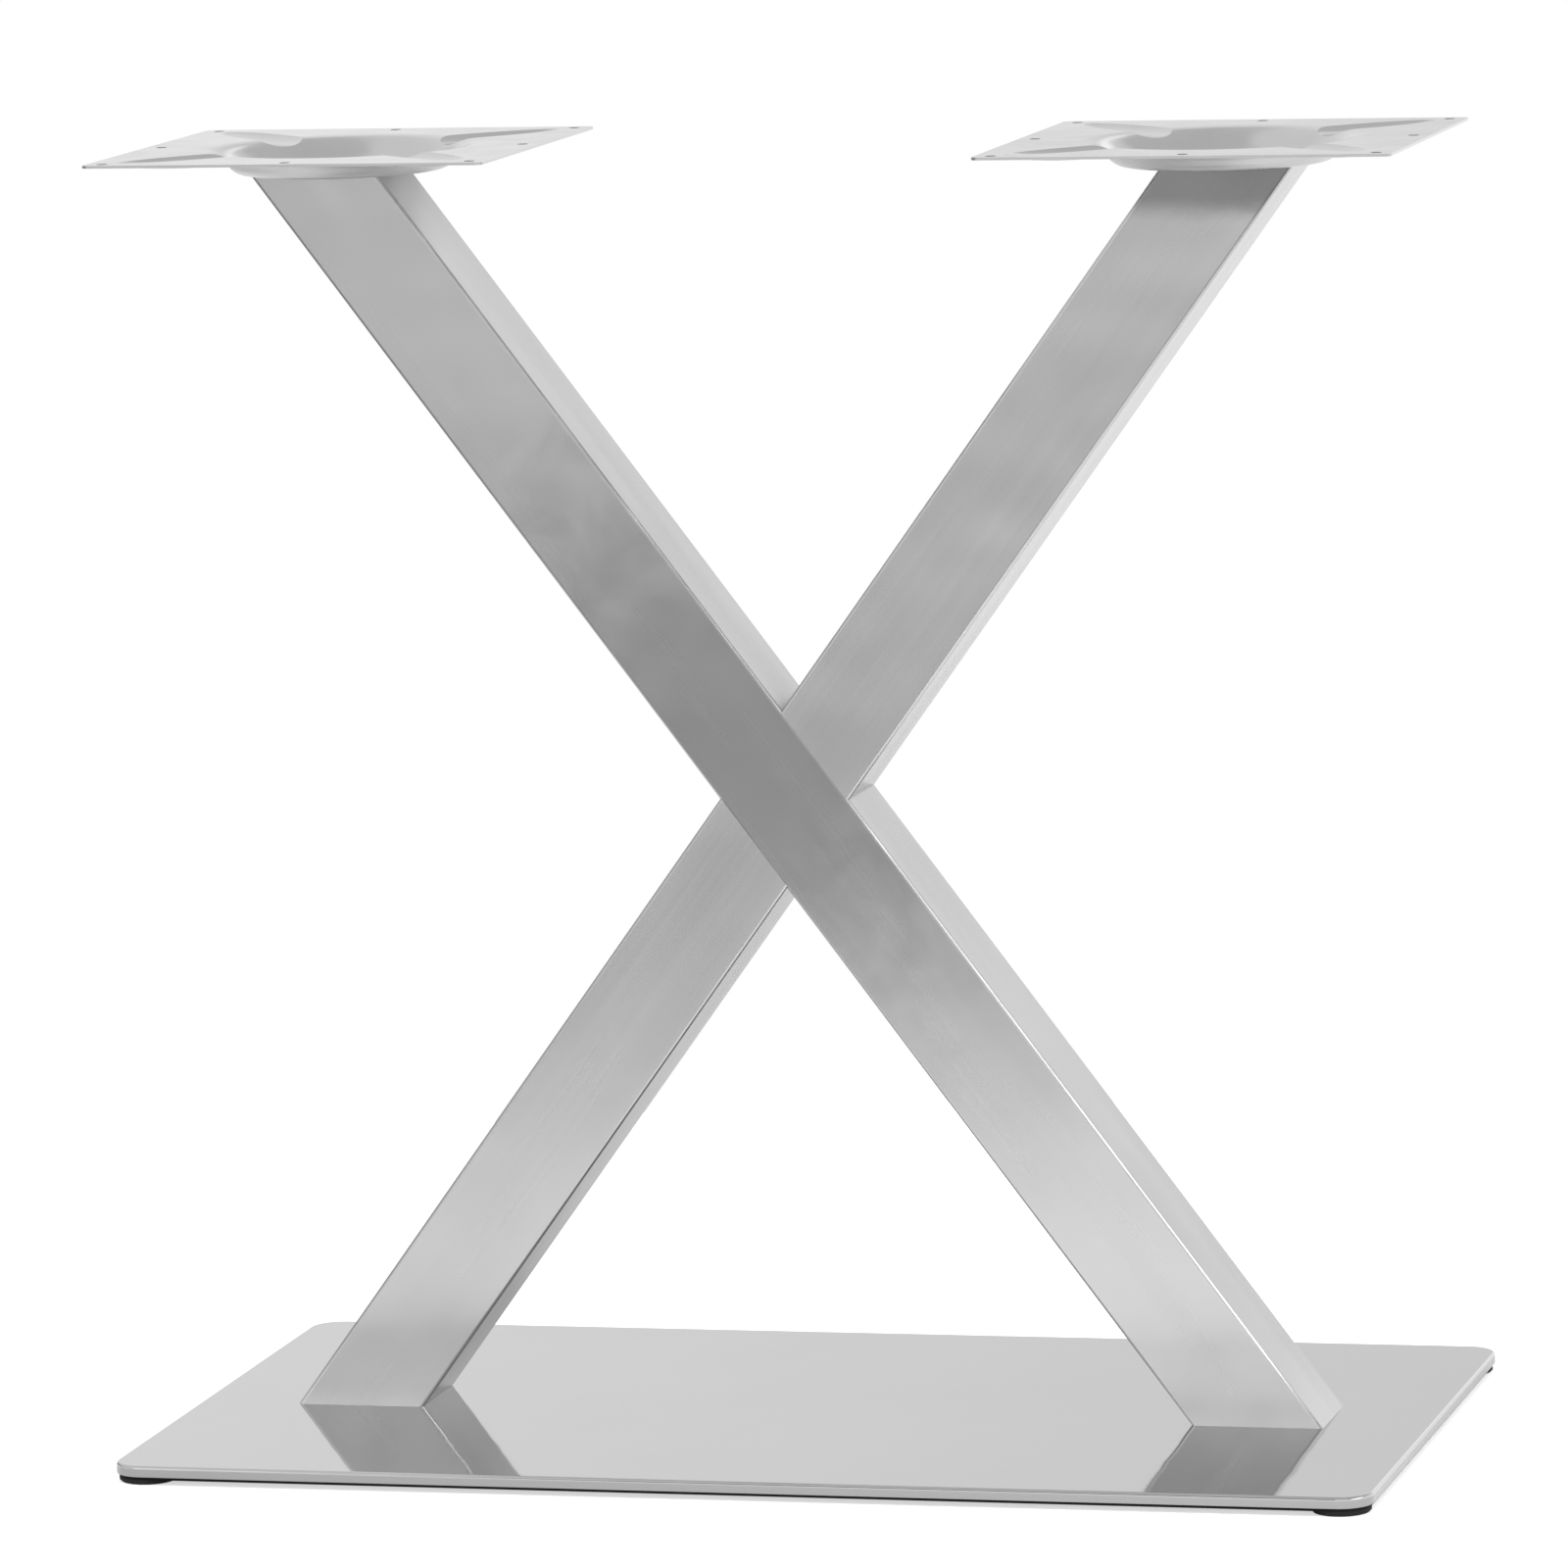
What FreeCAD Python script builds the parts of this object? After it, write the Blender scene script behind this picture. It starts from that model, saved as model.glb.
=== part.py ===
"""Cross-frame table base in brushed stainless steel.

Two square tubes cross in one plane to make an X. One runs through whole, from the
upper left to the lower right. The other is two arms, butt-welded to its sides. The
tubes stand on a flat rectangular foot, a thin pressed cover over a heavy black steel
plate with four rubber pads, and each carries a pressed mounting plate for a table top.

Frame: millimetres, +Z up, +X along the foot, +Y to its rear. The origin lies on the
floor under the middle of the foot.
"""

import FreeCAD, Part
import Sketcher
import math
import os

Vector = FreeCAD.Vector

SIZES = [
    # name, millimetres, what it is
    ("overall_height", 730, "floor to the seat of the table top"),
    ("base_length", 715, "foot along X, over the cover"),
    ("base_width", 398, "foot along Y, over the cover"),
    ("base_corner_radius", 18, "cover's corners in plan"),
    ("cover_sheet", 1, "stainless sheet of the cover"),
    ("cover_bend", 0.6, "cover's inner bend along its top edge"),
    ("base_plate_thickness", 7, "ballast plate"),
    ("base_plate_clearance", 0.4, "ballast plate to the cover's skirt"),
    ("base_plate_reveal", 1.8, "ballast plate left in sight below the cover's skirt"),
    ("pad_diameter", 33, "rubber pad"),
    ("pad_height", 3, "rubber pad below the ballast plate"),
    ("pad_inset", 18, "pad centre from the foot's edges"),
    ("pad_bevel", 1, "bevel round the pad's lower edge"),
    ("stem_diameter", 8, "pad's push-in stem"),
    ("stem_clearance", 0.05, "stem to its hole, on the radius"),
    ("stem_cap", 2, "ballast plate left above the stem"),
    ("tube_face", 60, "tube's side in the plane of the X"),
    ("tube_depth", 60, "tube's side along Y"),
    ("tube_wall", 1.5, "tube wall"),
    ("tube_edge_radius", 2, "tube's outer long edges"),
    ("tube_end_offset", 261.5, "middle of each tube end from the centre, along X"),
    ("weld_gap", 0.05, "arm's bevelled end to the whole tube's rounded edge"),
    ("end_plate_thickness", 6, "tapped plate welded inside each tube end"),
    ("end_plate_clearance", 0.2, "tapped plate to the tube's inner faces"),
    ("top_plate_size", 232, "mounting plate, square"),
    ("top_plate_corner_radius", 4, "mounting plate's corners"),
    ("top_plate_sheet", 1.5, "sheet of the mounting plate"),
    ("top_plate_inset", 7.5, "mounting plate's middle inwards of the tube end's middle"),
    ("dish_depth", 14, "plate's top face to the underside of its dish"),
    ("dish_floor_margin", 0.6, "dish's flat floor beyond the tube's corners"),
    ("dish_wall_run", 10, "dish wall in plan, without its bends"),
    ("dish_floor_bend", 10, "inner bend between the dish's floor and wall"),
    ("dish_rim_bend", 18, "outer bend between the dish's wall and rim"),
    ("rim_dip", 0.7, "how far the rim dips before the dish's bend"),
    ("rim_dip_run", 10.2, "rim's dip in plan"),
    ("flute_width", 28, "flute at its widest"),
    ("flute_depth", 4.4, "flute at its widest"),
    ("flute_corner_gap", 23, "flute's tip from the plate's square corner"),
    ("flute_lead", 15, "dish's rim to where a flute is widest"),
    ("table_hole_diameter", 6, "hole for a wood screw into the table top"),
    ("table_hole_inset", 9.5, "hole centre from the plate's edges"),
    ("bolt_diameter", 8, "screws that join the tubes to the foot and the plates"),
    ("bolt_hole_diameter", 9, "clearance hole for a screw"),
    ("tapped_hole_clearance", 0.05, "screw to its tapped hole, on the radius"),
    ("bolt_wall_gap_x", 15.5, "screw's centre to the tube's inner face, along X"),
    ("bolt_wall_gap_y", 11.5, "screw's centre to the tube's inner face, along Y"),
    ("screw_projection", 2.5, "screw past its tapped plate"),
    ("button_head_diameter", 14, "button head"),
    ("button_head_height", 4.4, "button head"),
    ("button_head_band", 0.8, "straight band below the button head's dome"),
    ("sunk_head_diameter", 16, "countersunk head"),
    ("sunk_head_recess", 0.3, "countersunk head above the ballast plate's underside"),
    ("countersink_clearance", 0.2, "countersunk head to its seat, on the radius"),
    ("socket_width", 5, "hexagon socket across its flats"),
    ("socket_depth", 2.6, "hexagon socket"),
]

doc = FreeCAD.newDocument("cross_frame_table_base")


def make_sheet():
    """Writes the driving dimensions to a spreadsheet, one alias each."""
    sheet = doc.addObject("Spreadsheet::Sheet", "Sizes")
    for row, (name, value, note) in enumerate(SIZES, start=1):
        sheet.set(f"A{row}", name)
        sheet.set(f"B{row}", str(value))
        sheet.setAlias(f"B{row}", name)
        sheet.set(f"C{row}", note)
    doc.recompute()


make_sheet()

# Levels, from the floor up.
PLATE_UNDERSIDE = "Sizes.pad_height"
PLATE_TOP = f"({PLATE_UNDERSIDE} + Sizes.base_plate_thickness)"
COVER_TOP = f"({PLATE_TOP} + Sizes.cover_sheet)"
COVER_HEM = f"({PLATE_UNDERSIDE} + Sizes.base_plate_reveal)"
DISH_UNDERSIDE = "(Sizes.overall_height - Sizes.dish_depth)"
RIM_UNDERSIDE = "(Sizes.overall_height - Sizes.top_plate_sheet)"

# The X: each tube leans from one end's middle on the foot to the other's under a dish.
TUBE_RISE = f"({DISH_UNDERSIDE} - {COVER_TOP})"
TUBE_RUN = "(2 * Sizes.tube_end_offset)"
TUBE_LENGTH = f"sqrt(({TUBE_RISE})^2 + ({TUBE_RUN})^2)"
LEAN_ANGLE = f"atan({TUBE_RUN} / {TUBE_RISE})"
STOCK_SPARE = "(4 * Sizes.tube_face)"
STOCK_LENGTH = f"({TUBE_LENGTH} + {STOCK_SPARE})"
CROSSING_HEIGHT = f"(({COVER_TOP} + {DISH_UNDERSIDE}) / 2)"
PLATE_OFFSET = "(Sizes.tube_end_offset - Sizes.top_plate_inset)"

# A tube end's cut face, and its four screws.
END_HALF_X = f"(Sizes.tube_face / 2 * {TUBE_LENGTH} / {TUBE_RISE})"
END_HALF_Y = "(Sizes.tube_depth / 2)"
BORE_HALF_X = f"((Sizes.tube_face / 2 - Sizes.tube_wall) * {TUBE_LENGTH} / {TUBE_RISE})"
BORE_HALF_Y = f"({END_HALF_Y} - Sizes.tube_wall)"
BOLT_X = f"({BORE_HALF_X} - Sizes.bolt_wall_gap_x)"
BOLT_Y = f"({BORE_HALF_Y} - Sizes.bolt_wall_gap_y)"
TAPPED_DIAMETER = "(Sizes.bolt_diameter + 2 * Sizes.tapped_hole_clearance)"

# The dish's section: its floor clears the tube's corners, and its wall stands on that.
WALL_RISE = "(Sizes.dish_depth - Sizes.top_plate_sheet - Sizes.rim_dip)"
WALL_SLANT = f"sqrt({WALL_RISE}^2 + Sizes.dish_wall_run^2)"
WALL_TURN = f"(({WALL_SLANT} - Sizes.dish_wall_run) / {WALL_RISE})"
FLAT_RADIUS = (f"(sqrt(({END_HALF_X} + Sizes.top_plate_inset)^2 + {END_HALF_Y}^2)"
               " + Sizes.dish_floor_margin)")
FLOOR_CORNER = f"({FLAT_RADIUS} + Sizes.dish_floor_bend * {WALL_TURN})"
RIM_CORNER = f"({FLOOR_CORNER} + Sizes.dish_wall_run)"
RIM_OVERRUN = 1.5  # the dish's form goes on past the rim by this many dips
FLUTE_TIP = "(Sizes.top_plate_size * sqrt(2) / 2 - Sizes.flute_corner_gap)"
FLUTE_MIDDLE = f"({RIM_CORNER} + Sizes.flute_lead)"
CORNER_ANGLES = (45, 135, 225, 315)

FULL_TURN = 360
START_ANGLE = 30  # any turn but none, which holds a leaning bar's axis until its lean is bound
NEARLY_UPRIGHT = 0.999  # least share of an edge's direction that lies along Z
HAIR = 1e-6  # slack when a height is compared
SIDES = (("left", -1), ("right", 1))


def bind(item, bindings):
    """Binds properties of a document object to expressions."""
    for path, expression in bindings.items():
        item.setExpression(path, str(expression))


def place(item, x="0", y="0", z="0"):
    """Binds an object's position to expressions."""
    bind(item, {".Placement.Base.x": x, ".Placement.Base.y": y, ".Placement.Base.z": z})
    return item


def primitive(kind, name, sizes, x="0", y="0", z="0"):
    """Adds a Part primitive whose sizes and place are expressions."""
    item = doc.addObject(f"Part::{kind}", name)
    bind(item, sizes)
    return place(item, x, y, z)


def cylinder(name, diameter, height, x="0", y="0", z="0"):
    """A standing cylinder with its lower end at z."""
    return primitive("Cylinder", name, {"Radius": f"{diameter} / 2", "Height": height}, x, y, z)


def hexagon(name, across_flats, height, x, y, z):
    """A standing hexagonal prism."""
    prism = primitive("Prism", name, {
        "Circumradius": f"{across_flats} / 2 / cos(30 deg)",
        "Height": height,
    }, x, y, z)
    prism.Polygon = 6
    return prism


def pair_operation(kind, name, base, tool):
    """A boolean of a base and a tool."""
    item = doc.addObject(f"Part::{kind}", name)
    item.Base = base
    item.Tool = tool
    return item


def cut(name, base, tool):
    """The base with the tool taken away."""
    return pair_operation("Cut", name, base, tool)


def common(name, base, tool):
    """What the base and the tool share."""
    return pair_operation("Common", name, base, tool)


def fuse(name, items):
    """Several solids joined to one."""
    item = doc.addObject("Part::MultiFuse", name)
    item.Shapes = items
    return item


def group(name, items):
    """Several separate solids that share one name."""
    item = doc.addObject("Part::Compound", name)
    item.Links = items
    return item


def new_sketch(body, name, role="XY_Plane"):
    """An empty sketch on one of a body's own origin planes."""
    sketch = body.newObject("Sketcher::SketchObject", name)
    plane = next(f for f in body.Origin.OriginFeatures if f.Role == role)
    sketch.AttachmentSupport = [(plane, "")]
    sketch.MapMode = "FlatFace"
    return sketch


def constrain(sketch, name, expression, kind, *ends):
    """Adds a named distance to a sketch and binds it to an expression."""
    value = sketch.evalExpression(str(expression))
    index = sketch.addConstraint(Sketcher.Constraint(kind, *ends, float(value)))
    sketch.renameConstraint(index, name)
    bind(sketch, {f"Constraints.{name}": expression})


def add_rectangle(sketch, tag, width, height):
    """Draws a rectangle centred on the sketch's origin and binds its two sides."""
    low, right, top, left = (sketch.GeometryCount + n for n in range(4))
    half_x = float(sketch.evalExpression(f"({width}) / 2"))
    half_y = float(sketch.evalExpression(f"({height}) / 2"))
    signs = ((-1, -1), (1, -1), (1, 1), (-1, 1))
    corners = [Vector(sx * half_x, sy * half_y, 0) for sx, sy in signs]
    for i in range(4):
        sketch.addGeometry(Part.LineSegment(corners[i], corners[(i + 1) % 4]), False)
    for a, b in ((low, right), (right, top), (top, left), (left, low)):
        sketch.addConstraint(Sketcher.Constraint("Coincident", a, 2, b, 1))
    for line in (low, top):
        sketch.addConstraint(Sketcher.Constraint("Horizontal", line))
    for line in (right, left):
        sketch.addConstraint(Sketcher.Constraint("Vertical", line))
    sketch.addConstraint(Sketcher.Constraint("Symmetric", low, 1, top, 1, -1, 1))
    constrain(sketch, f"{tag}_width", width, "DistanceX", low, 1, low, 2)
    constrain(sketch, f"{tag}_height", height, "DistanceY", right, 1, right, 2)


def add_circle(sketch, tag, diameter, x, y):
    """Draws a circle and binds its diameter and centre."""
    centre = Vector(float(sketch.evalExpression(x)), float(sketch.evalExpression(y)), 0)
    radius = float(sketch.evalExpression(f"({diameter}) / 2"))
    circle = sketch.addGeometry(Part.Circle(centre, Vector(0, 0, 1), radius), False)
    constrain(sketch, f"{tag}_diameter", diameter, "Diameter", circle)
    constrain(sketch, f"{tag}_x", x, "DistanceX", -1, 1, circle, 3)
    constrain(sketch, f"{tag}_y", y, "DistanceY", -1, 1, circle, 3)


def pad(body, sketch, length, both_ways=False):
    """Pads a sketch by an expression."""
    feature = body.newObject("PartDesign::Pad", f"{sketch.Name}_pad")
    feature.Profile = sketch
    feature.Midplane = both_ways
    bind(feature, {"Length": length})
    return feature


def pocket(body, sketch, depth=None):
    """Cuts a sketch upwards out of a body, by a depth or right through."""
    feature = body.newObject("PartDesign::Pocket", f"{sketch.Name}_pocket")
    feature.Profile = sketch
    feature.Reversed = True
    if depth is None:
        feature.Type = "ThroughAll"
    else:
        bind(feature, {"Length": depth})
    return feature


def turn(body, name, corners):
    """Turns a closed outline about Z. Each corner is its radius and height, as expressions."""
    sketch = new_sketch(body, f"{name}_section", "XZ_Plane")
    values = [[float(sketch.evalExpression(text)) for text in corner] for corner in corners]
    points = [Vector(radius, height, 0) for radius, height in values]
    count = len(corners)
    for i in range(count):
        sketch.addGeometry(Part.LineSegment(points[i], points[(i + 1) % count]), False)
    for i in range(count):
        sketch.addConstraint(Sketcher.Constraint("Coincident", i, 2, (i + 1) % count, 1))
    for i, (r, z) in enumerate(corners):
        if r == "0":
            sketch.addConstraint(Sketcher.Constraint("PointOnObject", i, 1, -2))
        else:
            constrain(sketch, f"radius_{i}", r, "DistanceX", -1, 1, i, 1)
        if z == "0":
            sketch.addConstraint(Sketcher.Constraint("PointOnObject", i, 1, -1))
        else:
            constrain(sketch, f"height_{i}", z, "DistanceY", -1, 1, i, 1)
    feature = body.newObject("PartDesign::Revolution", f"{name}_turned")
    feature.Profile = sketch
    feature.ReferenceAxis = (sketch, ["V_Axis"])
    feature.Angle = FULL_TURN
    return feature


def dress(body, kind, base, pick, size, name):
    """Fillets or chamfers the edges that pick names on a body's last feature."""
    doc.recompute()
    feature = body.newObject(f"PartDesign::{kind}", name)
    feature.Base = (base, pick(base.Shape))
    bind(feature, {"Radius" if kind == "Fillet" else "Size": size})
    doc.recompute()
    return feature


def upright_edges(shape):
    """Names of the straight edges along Z."""
    straight = [(f"Edge{i}", edge) for i, edge in enumerate(shape.Edges, start=1)
                if isinstance(edge.Curve, Part.Line)]
    return [name for name, edge in straight
            if abs(edge.tangentAt(edge.FirstParameter).z) > NEARLY_UPRIGHT]


def top_edges(shape):
    """Names of the edges that lie in the shape's top face."""
    top = shape.BoundBox.ZMax
    return [f"Edge{i}" for i, edge in enumerate(shape.Edges, start=1)
            if edge.BoundBox.ZMin > top - HAIR]


def bottom_face(shape):
    """Name of the face at the shape's underside."""
    low = shape.BoundBox.ZMin
    return [f"Face{i}" for i, face in enumerate(shape.Faces, start=1)
            if face.BoundBox.ZMax < low + HAIR]


def rings_by_height(shape):
    """Names of the full-circle edges, lowest first."""
    rings = [(edge.CenterOfMass.z, f"Edge{i}") for i, edge in enumerate(shape.Edges, start=1)
             if isinstance(edge.Curve, Part.Circle) and edge.isClosed()]
    return [name for height, name in sorted(rings)]


def tube_end_bolts():
    """Screw places in a tube end, from the end's middle."""
    return [(f"{sx} * {BOLT_X}", f"{sy} * {BOLT_Y}") for sx in (-1, 1) for sy in (-1, 1)]


def foot_bolt_places():
    """Tags and places of the screws in the foot, under both tube ends."""
    return [(f"{side}_{n}", f"({sign} * Sizes.tube_end_offset + {x})", y)
            for side, sign in SIDES
            for n, (x, y) in enumerate(tube_end_bolts(), start=1)]


def foot_pad_places():
    """Tags and places of the four rubber pads."""
    across = "(Sizes.base_length / 2 - Sizes.pad_inset)"
    along = "(Sizes.base_width / 2 - Sizes.pad_inset)"
    return [(f"{end}_{side}", f"{sx} * {across}", f"{sy} * {along}")
            for end, sy in (("front", -1), ("rear", 1))
            for side, sx in SIDES]


def make_base_cover():
    """Thin pressed cover: a flat top with rounded corners and a short turned-down skirt."""
    body = doc.addObject("PartDesign::Body", "base_cover")
    outline = new_sketch(body, "cover_outline")
    add_rectangle(outline, "cover", "Sizes.base_length", "Sizes.base_width")
    block = pad(body, outline, f"{COVER_TOP} - {COVER_HEM}")
    rounded = dress(body, "Fillet", block, upright_edges, "Sizes.base_corner_radius", "cover_corners")
    bent = dress(body, "Fillet", rounded, top_edges, "Sizes.cover_bend + Sizes.cover_sheet", "cover_bent")
    shell = body.newObject("PartDesign::Thickness", "cover_shell")
    shell.Base = (bent, bottom_face(bent.Shape))
    shell.Reversed = True
    bind(shell, {"Value": "Sizes.cover_sheet"})
    doc.recompute()
    holes = new_sketch(body, "cover_holes")
    for tag, x, y in foot_bolt_places():
        add_circle(holes, tag, "Sizes.bolt_hole_diameter", x, y)
    pocket(body, holes)
    return place(body, z=COVER_HEM)


def make_base_plate():
    """Heavy flat plate inside the cover, with countersunk screw holes and pad holes."""
    body = doc.addObject("PartDesign::Body", "base_plate")
    lap = "(Sizes.cover_sheet + Sizes.base_plate_clearance)"
    outline = new_sketch(body, "plate_outline")
    add_rectangle(outline, "plate", f"Sizes.base_length - 2 * {lap}", f"Sizes.base_width - 2 * {lap}")
    block = pad(body, outline, "Sizes.base_plate_thickness")
    rounded = dress(body, "Fillet", block, upright_edges,
                    f"Sizes.base_corner_radius - {lap}", "plate_corners")
    dress(body, "Chamfer", rounded, top_edges, "Sizes.cover_bend", "plate_bevel")
    sinks = new_sketch(body, "plate_screw_holes")
    for tag, x, y in foot_bolt_places():
        add_circle(sinks, tag, "Sizes.bolt_hole_diameter", x, y)
    doc.recompute()
    hole = body.newObject("PartDesign::Hole", "plate_countersinks")
    hole.Profile = sinks
    hole.Reversed = True
    hole.ThreadType = "None"
    hole.DepthType = "ThroughAll"
    hole.HoleCutType = "Countersink"
    hole.HoleCutCustomValues = True
    hole.HoleCutCountersinkAngle = 90
    seat = "Sizes.sunk_head_diameter + 2 * (Sizes.sunk_head_recess + Sizes.countersink_clearance)"
    bind(hole, {"Diameter": "Sizes.bolt_hole_diameter", "HoleCutDiameter": seat})
    doc.recompute()
    stems = new_sketch(body, "plate_stem_holes")
    for tag, x, y in foot_pad_places():
        add_circle(stems, tag, "Sizes.stem_diameter + 2 * Sizes.stem_clearance", x, y)
    pocket(body, stems, "Sizes.base_plate_thickness - Sizes.stem_cap")
    return place(body, z=PLATE_UNDERSIDE)


def make_foot_pad(tag, x, y):
    """Round rubber pad with a push-in stem, turned about its own axis."""
    body = doc.addObject("PartDesign::Body", f"{tag}_pad")
    rim = "Sizes.pad_diameter / 2"
    stem = "Sizes.stem_diameter / 2"
    stem_end = f"{PLATE_TOP} - Sizes.stem_cap"
    turn(body, f"{tag}_pad", [
        ("0", "0"),
        (f"{rim} - Sizes.pad_bevel", "0"),
        (rim, "Sizes.pad_bevel"),
        (rim, "Sizes.pad_height"),
        (stem, "Sizes.pad_height"),
        (stem, stem_end),
        ("0", stem_end),
    ])
    return place(body, x, y, "0")


def leaning_bar(name, side, face, depth, shift="0"):
    """A solid bar along one stroke of the X. Side 1 has its foot at +X, side -1 at -X."""
    body = doc.addObject("PartDesign::Body", name)
    outline = new_sketch(body, f"{name}_outline")
    add_rectangle(outline, "bar", face, depth)
    bind(outline, {".AttachmentOffset.Base.x": shift})
    pad(body, outline, STOCK_LENGTH, both_ways=True)
    body.Placement = FreeCAD.Placement(Vector(), FreeCAD.Rotation(Vector(0, -side, 0), START_ANGLE))
    bind(body, {".Placement.Rotation.Angle": LEAN_ANGLE})
    return place(body, "0", "0", CROSSING_HEIGHT)


def tube_stock(name, side):
    """A length of square tube along one stroke of the X, longer than the stroke."""
    body = leaning_bar(name, side, "Sizes.tube_face", "Sizes.tube_depth")
    dress(body, "Fillet", body.Tip, upright_edges, "Sizes.tube_edge_radius", f"{name}_edges")
    bore = new_sketch(body, f"{name}_bore")
    add_rectangle(bore, "bore", "Sizes.tube_face - 2 * Sizes.tube_wall",
                  "Sizes.tube_depth - 2 * Sizes.tube_wall")
    hollow = pocket(body, bore)
    hollow.Midplane = True
    return body


def layer(name, low, high):
    """A wide box between two levels, used to trim the tubes."""
    reach = f"(2 * {TUBE_RUN} + 2 * Sizes.tube_depth)"
    return primitive("Box", name, {"Length": reach, "Width": reach, "Height": f"{high} - {low}"},
                     f"-{reach} / 2", f"-{reach} / 2", low)


def make_main_tube():
    """The whole tube, from the lower right to the upper left."""
    return common("main_tube", tube_stock("main_stock", 1),
                  layer("main_layer", COVER_TOP, DISH_UNDERSIDE))


def make_arm(name, way):
    """One half of the crossing tube, butted to the whole tube's side. Way 1 is the upper one.

    Its end is bevelled where it laps the whole tube's rounded edges, as a ground weld fills them.
    """
    trimmed = common(f"{name}_trimmed", tube_stock(f"{name}_stock", -1),
                     layer(f"{name}_layer", COVER_TOP, DISH_UNDERSIDE))
    notch = leaning_bar(f"{name}_notch", 1, "Sizes.tube_face", "Sizes.tube_depth")
    bevel = "Sizes.tube_edge_radius * (2 - sqrt(2)) - Sizes.weld_gap * sqrt(2)"
    dress(notch, "Chamfer", notch.Tip, upright_edges, bevel, f"{name}_bevel")
    butted = cut(f"{name}_butted", trimmed, notch)
    half = leaning_bar(f"{name}_half", 1, TUBE_LENGTH, TUBE_LENGTH, f"{way} * {TUBE_LENGTH} / 2")
    return common(name, butted, half)


def make_end_plate(name, stroke, end, low):
    """Tapped plate welded inside a tube end. Stroke is the tube's side, end the end's side."""
    inside = "2 * (Sizes.tube_wall + Sizes.end_plate_clearance)"
    bar = leaning_bar(f"{name}_bar", stroke,
                      f"Sizes.tube_face - {inside}", f"Sizes.tube_depth - {inside}")
    slab = common(f"{name}_slab", bar,
                  layer(f"{name}_layer", low, f"({low} + Sizes.end_plate_thickness)"))
    holes = [cylinder(f"{name}_hole_{n}", TAPPED_DIAMETER, "Sizes.end_plate_thickness",
                      f"{end} * Sizes.tube_end_offset + {x}", y, low)
             for n, (x, y) in enumerate(tube_end_bolts(), start=1)]
    return cut(name, slab, group(f"{name}_holes", holes))


def dish_form(name, side, skin):
    """The dish as a solid, up past the rim. Skin is the sheet to add for its outer form."""
    body = doc.addObject("PartDesign::Body", name)
    floor = f"({DISH_UNDERSIDE} + Sizes.top_plate_sheet - {skin})"
    rim = f"(Sizes.overall_height - Sizes.rim_dip - {skin})"
    spread = f"{skin} * {WALL_TURN}"
    floor_corner = f"({FLOOR_CORNER} + {spread})"
    rim_corner = f"({RIM_CORNER} + {spread})"
    rim_end = f"({rim_corner} + {RIM_OVERRUN} * Sizes.rim_dip_run)"
    above = "(Sizes.overall_height + Sizes.dish_depth)"
    turned = turn(body, name, [
        ("0", floor),
        (floor_corner, floor),
        (rim_corner, rim),
        (rim_end, f"{rim} + {RIM_OVERRUN} * Sizes.rim_dip"),
        (rim_end, above),
        ("0", above),
    ])
    floor_bend = dress(body, "Fillet", turned, lambda shape: rings_by_height(shape)[:1],
                       f"Sizes.dish_floor_bend + {skin}", f"{name}_floor_bend")
    dress(body, "Fillet", floor_bend, lambda shape: rings_by_height(shape)[2:3],
          f"Sizes.dish_rim_bend - {skin}", f"{name}_rim_bend")
    return place(body, f"{side} * {PLATE_OFFSET}", "0", "0")


def flute_form(name, side, angle, skin):
    """A flute as a solid: the belly of an ellipsoid whose middle stands above the rim."""
    spread = "cos(30 deg)"
    belly = primitive("Ellipsoid", name, {
        "Radius1": "2 * Sizes.flute_depth",
        "Radius2": f"({FLUTE_TIP} - {FLUTE_MIDDLE}) / {spread}",
        "Radius3": f"Sizes.flute_width / 2 / {spread}",
    })
    heading = math.radians(angle)
    belly.Placement = FreeCAD.Placement(Vector(), FreeCAD.Rotation(Vector(0, 0, 1), angle))
    return place(
        belly,
        f"{side} * {PLATE_OFFSET} + {math.cos(heading):.9f} * {FLUTE_MIDDLE}",
        f"{math.sin(heading):.9f} * {FLUTE_MIDDLE}",
        f"Sizes.overall_height + Sizes.flute_depth - {skin}",
    )


def pressed_form(name, side, skin):
    """Dish and flutes together."""
    flutes = [flute_form(f"{name}_flute_{angle}", side, angle, skin) for angle in CORNER_ANGLES]
    return fuse(name, [dish_form(f"{name}_dish", side, skin), *flutes])


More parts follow.
